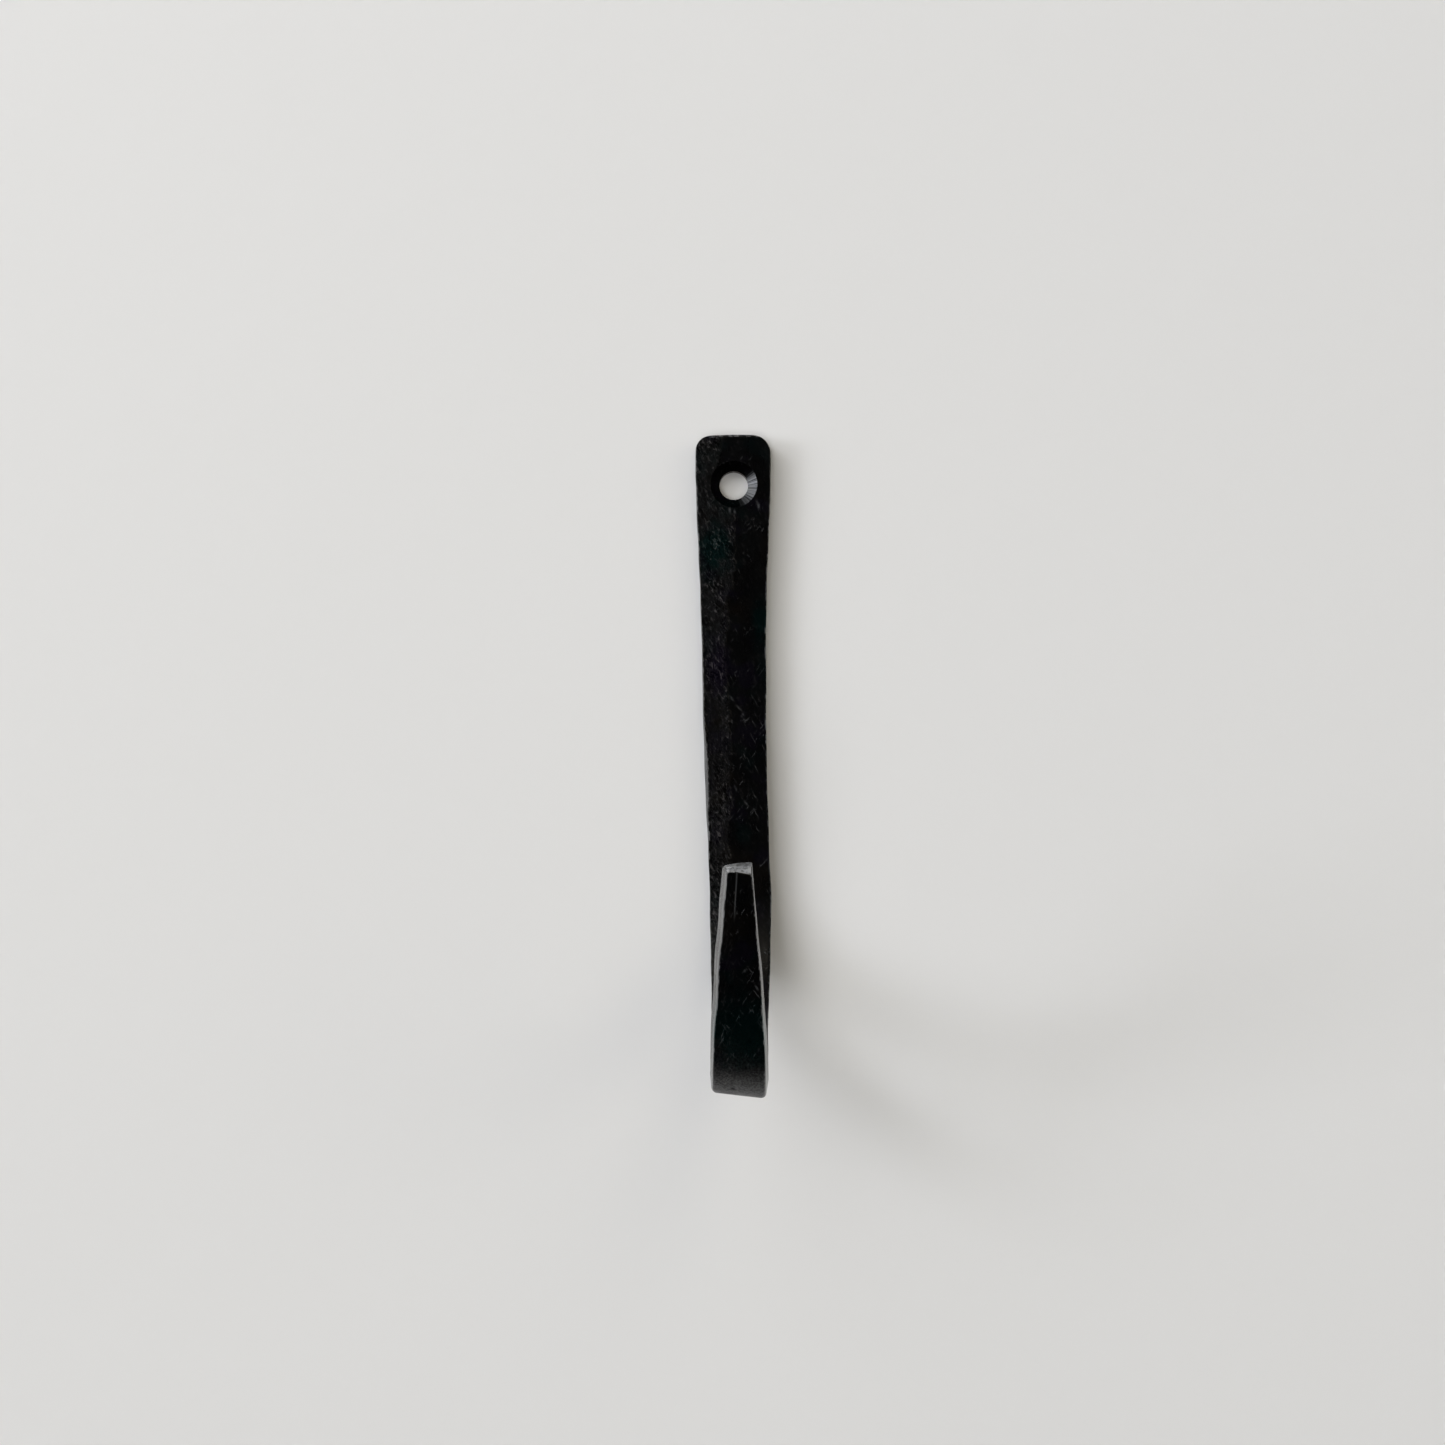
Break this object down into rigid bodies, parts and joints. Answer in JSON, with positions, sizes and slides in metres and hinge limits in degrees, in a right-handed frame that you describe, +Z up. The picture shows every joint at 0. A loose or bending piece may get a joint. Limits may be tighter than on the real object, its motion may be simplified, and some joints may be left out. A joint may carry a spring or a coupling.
{
  "type": "wall hook",
  "caption": "Hand-forged flat-bar wall hook: a straight strap with a countersunk screw hole, bent forwards and up into a tapered open hook.",
  "frame": {"origin": "axis of the screw hole, on the flat back face that lies on the wall", "axes": "+Z up along the strap as it hangs, -Y out of the wall towards the viewer, +X to the right seen from the front"},
  "size_m": [0.0135, 0.0554, 0.1116],
  "materials": {
    "black_steel": "satin"
  },
  "bodies": {
    "root": {"forged_hook": "black_steel"}
  },
  "joints": []
}
